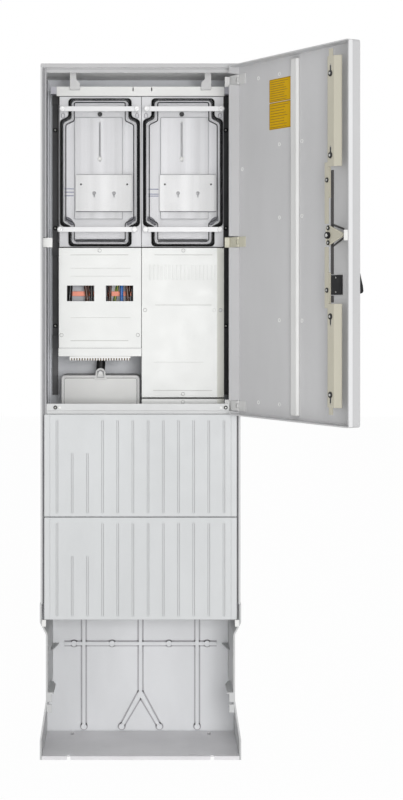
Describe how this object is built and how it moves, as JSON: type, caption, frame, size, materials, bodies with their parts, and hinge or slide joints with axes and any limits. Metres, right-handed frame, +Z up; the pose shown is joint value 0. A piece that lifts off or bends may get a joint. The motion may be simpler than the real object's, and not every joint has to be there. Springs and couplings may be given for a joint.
{
  "type": "electric meter box",
  "caption": "Free-standing outdoor meter column: plastic cabinet with a hinged lockable door, clear meter hoods, covered busbars and an open-fronted ground base.",
  "frame": {"origin": "on the ground under the centre of the footprint of the ground base", "axes": "+Z up, front and door opening face -Y, +X to the right seen from the front"},
  "size_m": [0.8989, 0.8331, 2.055],
  "materials": {
    "housing": "fine satin moulding",
    "front_panel": "fine satin moulding",
    "ground_base": "satin moulding",
    "floor": "satin moulding",
    "door": "fine satin moulding",
    "white_trim": "satin",
    "lilac_block": "satin",
    "dark_rail": "satin",
    "steel": "zinc plated",
    "steel_bar": "galvanised",
    "tray": "satin",
    "gasket": "matt",
    "clear_hood": "clear polycarbonate",
    "carrier": "satin",
    "cover": "satin",
    "insulator": "matt",
    "copper": "bare copper",
    "wire_sleeve": "glossy insulation in black, brown, blue and green-yellow",
    "cable_sheath": "matt",
    "service_box": "satin",
    "beige_lock": "satin",
    "black_handle": "satin black",
    "escutcheon": "satin"
  },
  "bodies": {
    "column": {"left_side_wall": "housing", "right_side_wall": "housing", "back_wall": "housing", "roof": "housing", "sill": "housing", "upper_front_panel": "front_panel", "lower_front_panel": "front_panel", "base_left_wall": "ground_base", "base_right_wall": "ground_base", "base_back_wall": "ground_base", "floor_plate": "floor", "panel_hooks": "white_trim", "top_band": "white_trim", "roof_brackets": "white_trim", "side_keeper": "white_trim", "cable_comb": "white_trim", "hood_bars": "white_trim", "hood_knobs": "white_trim", "band_end_blocks": "lilac_block", "mounting_rails": "dark_rail", "field_frames": "dark_rail", "rail_screws": "steel", "sill_screws": "steel", "slider_screws": "steel", "cover_screws": "steel", "service_box_screw": "steel", "hinge_pins": "steel", "cross_rails": "steel_bar", "meter_trays": "tray", "meter_gaskets": "gasket", "cable_grommets": "gasket", "meter_hoods": "clear_hood", "meter_carriers": "carrier", "terminal_plates": "carrier", "fuse_cover": "cover", "blank_cover": "cover", "lower_cover": "cover", "busbar_plate": "insulator", "busbar_holders": "insulator", "connection_strip": "insulator", "busbars": "copper", "insulated_wires": "wire_sleeve", "service_cable": "cable_sheath", "service_box_base": "service_box", "service_box_lid": "service_box", "hinge_brackets": "beige_lock"},
    "door": {"door_panel": "door", "door_stiffener": "door", "guide_tab": "white_trim", "escutcheon": "escutcheon", "lock_plate": "black_handle", "guide_screws": "steel", "hinge_leaves": "beige_lock"},
    "handle": {"handle_hub": "black_handle", "lock_cam": "beige_lock", "shaft_nut": "steel"},
    "lever": {"handle_lever": "black_handle", "lever_pin": "steel"},
    "upper_lock_rod": {"upper_rod": "beige_lock"},
    "lower_lock_rod": {"lower_rod": "beige_lock"}
  },
  "joints": [
    {"name": "door_hinge", "type": "hinge", "parent": "column", "child": "door", "pos_m": [0.2876, -0.168, 1.53], "axis": [0, 0, 1], "range_deg": [-120, 0]},
    {"name": "handle_turn", "type": "hinge", "parent": "door", "child": "handle", "pos_m": [0.5269, -0.58248, 1.53], "axis": [0.866, 0.5, 0], "range_deg": [0, 90]},
    {"name": "handle_lift", "type": "hinge", "parent": "handle", "child": "lever", "pos_m": [0.54838, -0.57008, 1.53], "axis": [0.5, -0.866, 0], "range_deg": [-13, 14]},
    {"name": "upper_rod_slide", "type": "slide", "parent": "door", "child": "upper_lock_rod", "axis": [0, 0, 1], "range_m": [-0.0201, 0]},
    {"name": "lower_rod_slide", "type": "slide", "parent": "door", "child": "lower_lock_rod", "axis": [0, 0, 1], "range_m": [0, 0.0201]}
  ],
  "couplings": [
    {"joint": "upper_rod_slide", "follows": "handle_turn", "m_per_rad": -0.012732},
    {"joint": "lower_rod_slide", "follows": "handle_turn", "m_per_rad": 0.012732}
  ]
}
